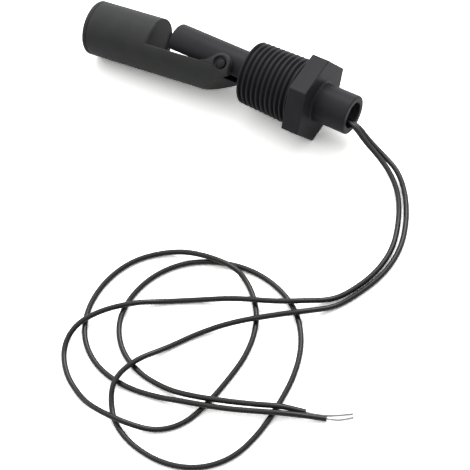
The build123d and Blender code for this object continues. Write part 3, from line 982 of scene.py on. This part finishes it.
def tube_along(points, radius, count=10):
    """A round tube along points: p + radius (cos t n + sin t b), its frame carried without twist."""
    tangent = np.gradient(points, axis=0)
    tangent /= np.linalg.norm(tangent, axis=1)[:, None]
    normal = np.cross(tangent, (0.0, 0.0, 1.0))
    normal /= np.linalg.norm(normal, axis=1)[:, None]
    binormal = np.cross(tangent, normal)
    angle = np.linspace(0, 2 * np.pi, count, endpoint=False)
    ring = (
        np.cos(angle)[None, :, None] * normal[:, None]
        + np.sin(angle)[None, :, None] * binormal[:, None]
    )
    body = points[:, None] + radius * ring
    start = np.broadcast_to(points[:1, None], (1, count, 3))
    end = np.broadcast_to(points[-1:, None], (1, count, 3))
    return np.concatenate((start, body, end)).reshape(-1, 3), quads(len(points) + 2, count)


def strand_shells(route_points, leads):
    """A stranded conductor: one strand on the line and the others wound round it once in every lay."""
    gaps = np.linalg.norm(np.diff(route_points, axis=0), axis=1)
    place = np.concatenate(([0.0], np.cumsum(gaps)))
    even = np.linspace(0, place[-1], int(place[-1] / (0.12 * MM)))
    line = np.column_stack([np.interp(even, place, route_points[:, k]) for k in range(3)])
    strand = leads.core_diameter / 6
    tangent = np.gradient(line, axis=0)
    tangent /= np.linalg.norm(tangent, axis=1)[:, None]
    normal = np.cross(tangent, (0.0, 0.0, 1.0))
    normal /= np.linalg.norm(normal, axis=1)[:, None]
    binormal = np.cross(tangent, normal)
    shells = [tube_along(line, strand * 0.98)]
    for index in range(leads.strands):
        angle = 2 * np.pi * (index / leads.strands + even / leads.lay)
        round_ = np.cos(angle)[:, None] * normal + np.sin(angle)[:, None] * binormal
        shells.append(tube_along(line + 2 * strand * round_, strand * 0.98))
    return shells


def ear_seats(buoy):
    """A disc about the hinge through each wall, as turned profiles: the ears' rings stand there."""
    seat = (buoy.recess_radius + buoy.ear_radius) / 2
    near = buoy.trough_width / 2 - 0.5 * MM
    far = buoy.radius + 1 * MM
    profile = [(near, 0.0), (near, seat), (far, seat), (far, 0.0)]
    return [lathe(profile, HINGE, side * ALONG_PINS, TO_FLOAT_END, 96) for side in (1, -1)]


def slot_end(buoy):
    """A block as wide as the slot, that reaches a little into the shoulder."""
    half = buoy.trough_width / 2
    low = -buoy.trough_floor - 1 * MM
    high = buoy.radius + 1 * MM
    section = np.array(((-half, low), (half, low), (half, high), (-half, high)))
    places = np.array((-1 * MM, -1 * MM, buoy.slot_recess, buoy.slot_recess)) + buoy.shoulder
    sections = [section * 0.5, section, section, section * 0.5]
    points, faces = stack(sections, places, HINGE, TO_FLOAT_END, ALONG_PINS, FLOAT_UP)
    return [(points, faces)]


def cut_away(piece, shells):
    """Take closed shells out of a piece with an applied Boolean."""
    cutter = shell_object("cutter", shells, piece.data.materials[0])
    close_ends(cutter)
    cut = piece.modifiers.new("Cut", "BOOLEAN")
    cut.operation = "DIFFERENCE"
    cut.solver = "EXACT"
    cut.object = cutter
    piece.modifiers.remove(piece.modifiers["Weighted normals"])
    cutter.modifiers.clear()
    bpy.context.view_layer.update()
    evaluated = piece.evaluated_get(bpy.context.evaluated_depsgraph_get())
    mesh = bpy.data.meshes.new_from_object(evaluated)
    piece.modifiers.clear()
    piece.data = mesh
    bpy.data.objects.remove(cutter)


def take_in(piece, others):
    """Join other objects' meshes to a piece's, with creases over 35 degrees kept sharp."""
    work = bmesh.new()
    work.from_mesh(piece.data)
    for other in others:
        work.from_mesh(other.data)
        bpy.data.objects.remove(other)
    work.to_mesh(piece.data)
    work.free()
    piece.data.set_sharp_from_angle(angle=np.radians(35))


def close_ends(piece):
    """Fill each open loop of a mesh with one face and turn all faces outwards."""
    work = bmesh.new()
    work.from_mesh(piece.data)
    open_edges = [edge for edge in work.edges if edge.is_boundary]
    bmesh.ops.holes_fill(work, edges=open_edges, sides=0)
    bmesh.ops.recalc_face_normals(work, faces=work.faces)
    work.to_mesh(piece.data)
    work.free()


def settings(name):
    """One of the scene's property groups."""
    return getattr(bpy.context.scene, name)


class SWITCH_OT_body(bpy.types.Operator):
    """Build the threaded body with its hexagon, boss, stem and hinge pins, and the potting"""

    bl_idname = "switch.body"
    bl_label = "Body"

    def execute(self, context):
        body = settings("switch_body")
        plastic = moulded_plastic("body plastic", body.plastic, 0.36)
        shells = [
            thread_shell(body),
            hex_shell(body),
            boss_shell(body),
            stem_shell(body),
            pin_shell(body, 1),
            pin_shell(body, -1),
        ]
        moulding = shell_object("threaded_body", shells, plastic)
        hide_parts("switch_body")
        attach(moulding, "body")

        resin = potting_resin("potting resin", body.resin)
        plug = shell_object("potting_face", [potting_shell(body)], resin)
        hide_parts("potting")
        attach(plug, "body")
        return {"FINISHED"}


class SWITCH_OT_float(bpy.types.Operator):
    """Build the float with its trough and ears, and its end cap"""

    bl_idname = "switch.float"
    bl_label = "Float"

    def execute(self, context):
        buoy = settings("switch_float")
        plastic = moulded_plastic("float plastic", buoy.plastic, 0.42)
        trough = shell_object("trough", [trough_shell(buoy)], plastic)
        close_ends(trough)
        cut_away(trough, ear_seats(buoy))
        round_end = shell_object("round end", [round_shell(buoy)], plastic)
        cut_away(round_end, slot_end(buoy))
        ears = [ear_shell(buoy, 1), ear_shell(buoy, -1)]
        moulding = shell_object("float_moulding", ears, plastic)
        take_in(moulding, [trough, round_end])
        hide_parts("float_shell")
        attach(moulding, "float")

        cap = shell_object("float_cap", [cap_shell(buoy)], plastic)
        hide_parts("float_end_cap")
        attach(cap, "float")
        return {"FINISHED"}


class SWITCH_OT_leads(bpy.types.Operator):
    """Lay the two leads on their routes and bare their ends"""

    bl_idname = "switch.leads"
    bl_label = "Leads"

    def execute(self, context):
        leads = settings("switch_leads")
        insulation = lead_insulation("lead insulation", leads.insulation)
        tinned = bright_metal("tinned copper", (0.46, 0.455, 0.44), 0.32)
        for number, route, core_route, real_length in (
            (1, LEAD_1_ROUTE, CORE_1_ROUTE, LEAD_1_LENGTH),
            (2, LEAD_2_ROUTE, CORE_2_ROUTE, LEAD_2_LENGTH),
        ):
            guide = smooth_route(f"core_{number}_guide", core_route)
            shells = strand_shells(line_points(guide), leads)
            bpy.data.objects.remove(guide)
            core = shell_object(f"bared_core_{number}", shells, tinned)
            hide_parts(f"lead_{number}_core")
            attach(core, "body")

            lead = smooth_route(f"flying_lead_{number}", route)
            lead.data.bevel_depth = leads.diameter / 2
            lead.data.bevel_resolution = 6
            lead.data.use_fill_caps = True
            lead.data.materials.append(insulation)
            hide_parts(f"lead_{number}")
            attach(lead, "body")
            tuple(value * MM for value in route[0])
        return {"FINISHED"}


class SWITCH_OT_inner(bpy.types.Operator):
    """Give the reed contact, its wires and the magnet their finishes"""

    bl_idname = "switch.inner"
    bl_label = "Inner parts"

    def execute(self, context):
        tinned = bright_metal("inner tinned copper", (0.46, 0.455, 0.44), 0.32)
        blade = bright_metal("reed blades", (0.66, 0.63, 0.56), 0.22)
        magnet = bright_metal("magnet", (0.09, 0.09, 0.10), 0.5)
        glass = clear_glass("reed glass", (0.55, 0.78, 0.62))
        sleeving = moulded_plastic("sleeving", (0.012, 0.012, 0.012), 0.55)
        insulation = lead_insulation("inner insulation", settings("switch_leads").insulation)
        plug = moulded_plastic("magnet plug plastic", settings("switch_float").plastic, 0.5)
        finishes = {
            "reed_glass": glass,
            "reed_blade_tip": blade,
            "reed_blade_root": blade,
            "reed_sleeve": sleeving,
            "solder_joint_tip": tinned,
            "solder_joint_root": tinned,
            "tail_1_core": tinned,
            "tail_2_core": tinned,
            "lead_1_tail": insulation,
            "lead_2_tail": insulation,
            "float_magnet": magnet,
            "magnet_plug": plug,
        }
        for node, material in finishes.items():
            slots = frame["nodes"][node].material_slots
            for slot in slots:
                slot.material = material
        return {"FINISHED"}


class SWITCH_OT_stage(bpy.types.Operator):
    """Set the white table, the soft light and the camera"""

    bl_idname = "switch.stage"
    bl_label = "Stage"

    def execute(self, context):
        stage = settings("switch_stage")
        self.lay_table(stage)
        self.hang_lights(stage)
        self.place_camera(stage)
        context.scene.view_settings.view_transform = "Standard"
        return {"FINISHED"}

    def lay_table(self, stage):
        """A flat white table; what the camera sees of it is lifted a little, and shadows stay."""
        reach = stage.table_reach
        mesh = bpy.data.meshes.new("table")
        corners = [(-reach, -reach), (reach, -reach), (reach, reach), (-reach, reach)]
        level = FLOOR - 0.02 * MM
        mesh.from_pydata([(x, y, level) for x, y in corners], [], [(0, 1, 2, 3)])
        finish = Finish("white table")
        paper = finish.noise(0.2, 2.0)
        albedo = stage.floor_albedo
        finish.shade(
            Base_Color=finish.tint(paper, (albedo,) * 3, (albedo, albedo, albedo * 0.995)),
            Roughness=0.9,
            Specular_IOR_Level=0.0,
        )
        finish.whiten(stage.floor_lift, stage.floor_mirrored)
        mesh.materials.append(finish.material)
        table = bpy.data.objects.new("table", mesh)
        bpy.context.scene.collection.objects.link(table)

    def hang_lights(self, stage):
        """One soft box behind the part, and a sky that is darker on the side away from it."""
        light = bpy.data.lights.new("key", "AREA")
        light.shape = "RECTANGLE"
        light.size = stage.key_width
        light.size_y = stage.key_height
        light.energy = stage.key_power
        key = bpy.data.objects.new("key", light)
        key.location = stage.key_place
        beam = Vector(stage.key_aim) - Vector(stage.key_place)
        key.rotation_euler = beam.to_track_quat("-Z", "Y").to_euler()
        bpy.context.scene.collection.objects.link(key)

        world = bpy.data.worlds.new("sky")
        world.use_nodes = True
        self.shade_sky(world.node_tree, stage)
        bpy.context.scene.world = world

    def shade_sky(self, tree, stage):
        """Sky strength from the cosine c between a direction and the brightest one: a ramp from the far
        side's share of the strength to the near side's; the camera sees it plain white."""
        brightest = Vector((-0.55, 0.6, 0.58)).normalized()
        cosine_limits = (-0.6, 0.9)
        strengths = (stage.sky * stage.sky_dark_side, stage.sky * (2 - stage.sky_dark_side))
        place = tree.nodes.new("ShaderNodeTexCoord")
        cosine = tree.nodes.new("ShaderNodeVectorMath")
        cosine.operation = "DOT_PRODUCT"
        cosine.inputs[1].default_value = brightest
        ramp = tree.nodes.new("ShaderNodeMapRange")
        ramp.interpolation_type = "SMOOTHSTEP"
        for socket, limit in zip(("From Min", "From Max", "To Min", "To Max"), cosine_limits + strengths):
            ramp.inputs[socket].default_value = limit
        path = tree.nodes.new("ShaderNodeLightPath")
        choice = tree.nodes.new("ShaderNodeMix")
        choice.inputs["B"].default_value = 1.0
        background = tree.nodes["Background"]
        background.inputs["Color"].default_value = (1.0, 1.0, 1.0, 1.0)
        link = tree.links.new
        link(place.outputs["Generated"], cosine.inputs[0])
        link(cosine.outputs["Value"], ramp.inputs["Value"])
        link(path.outputs["Is Camera Ray"], choice.inputs["Factor"])
        link(ramp.outputs["Result"], choice.inputs["A"])
        link(choice.outputs["Result"], background.inputs["Strength"])

    def place_camera(self, stage):
        """The photograph's camera: back = (sin az cos el, -cos az cos el, sin el), then rolled."""
        azimuth, elevation, roll = stage.azimuth, stage.elevation, stage.roll
        back = Vector(
            (
                np.sin(azimuth) * np.cos(elevation),
                -np.cos(azimuth) * np.cos(elevation),
                np.sin(elevation),
            )
        )
        level_right = Vector((0, 0, 1)).cross(back).normalized()
        level_up = back.cross(level_right)
        right = np.cos(roll) * level_right + np.sin(roll) * level_up
        up = -np.sin(roll) * level_right + np.cos(roll) * level_up
        data = bpy.data.cameras.new("camera")
        frame_pixels = 470
        data.sensor_width = 36.0
        data.lens = stage.focal_pixels * data.sensor_width / frame_pixels
        data.clip_start = 0.01
        data.clip_end = 10.0
        camera = bpy.data.objects.new("camera", data)
        turn = Matrix((right, up, back)).transposed()
        camera.matrix_world = Matrix.Translation(stage.camera) @ turn.to_4x4()
        bpy.context.scene.collection.objects.link(camera)
        bpy.context.scene.camera = camera


class SWITCH_PT_panel(bpy.types.Panel):
    bl_label = "Float Level Switch"
    bl_idname = "SWITCH_PT_panel"
    bl_space_type = "VIEW_3D"
    bl_region_type = "UI"
    bl_category = "Level Switch"

    def draw(self, context):
        for operator in OPERATORS:
            self.layout.operator(operator.bl_idname)
        for name, group in SETTINGS.items():
            box = self.layout.box()
            for key in group.__annotations__:
                box.prop(settings(name), key)


OPERATORS = (
    SWITCH_OT_stage,
    SWITCH_OT_leads,
    SWITCH_OT_body,
    SWITCH_OT_float,
    SWITCH_OT_inner,
)


def register():
    for group in SETTINGS.values():
        bpy.utils.register_class(group)
    for name, group in SETTINGS.items():
        setattr(bpy.types.Scene, name, bpy.props.PointerProperty(type=group))
    for operator in OPERATORS:
        bpy.utils.register_class(operator)
    bpy.utils.register_class(SWITCH_PT_panel)


def unregister():
    bpy.utils.unregister_class(SWITCH_PT_panel)
    for operator in reversed(OPERATORS):
        bpy.utils.unregister_class(operator)
    for name in SETTINGS:
        delattr(bpy.types.Scene, name)
    for group in SETTINGS.values():
        bpy.utils.unregister_class(group)


def main():
    register()
    bpy.ops.switch.stage()
    bpy.ops.switch.leads()
    bpy.ops.switch.body()
    bpy.ops.switch.float()
    bpy.ops.switch.inner()


if __name__ == "__main__":
    main()
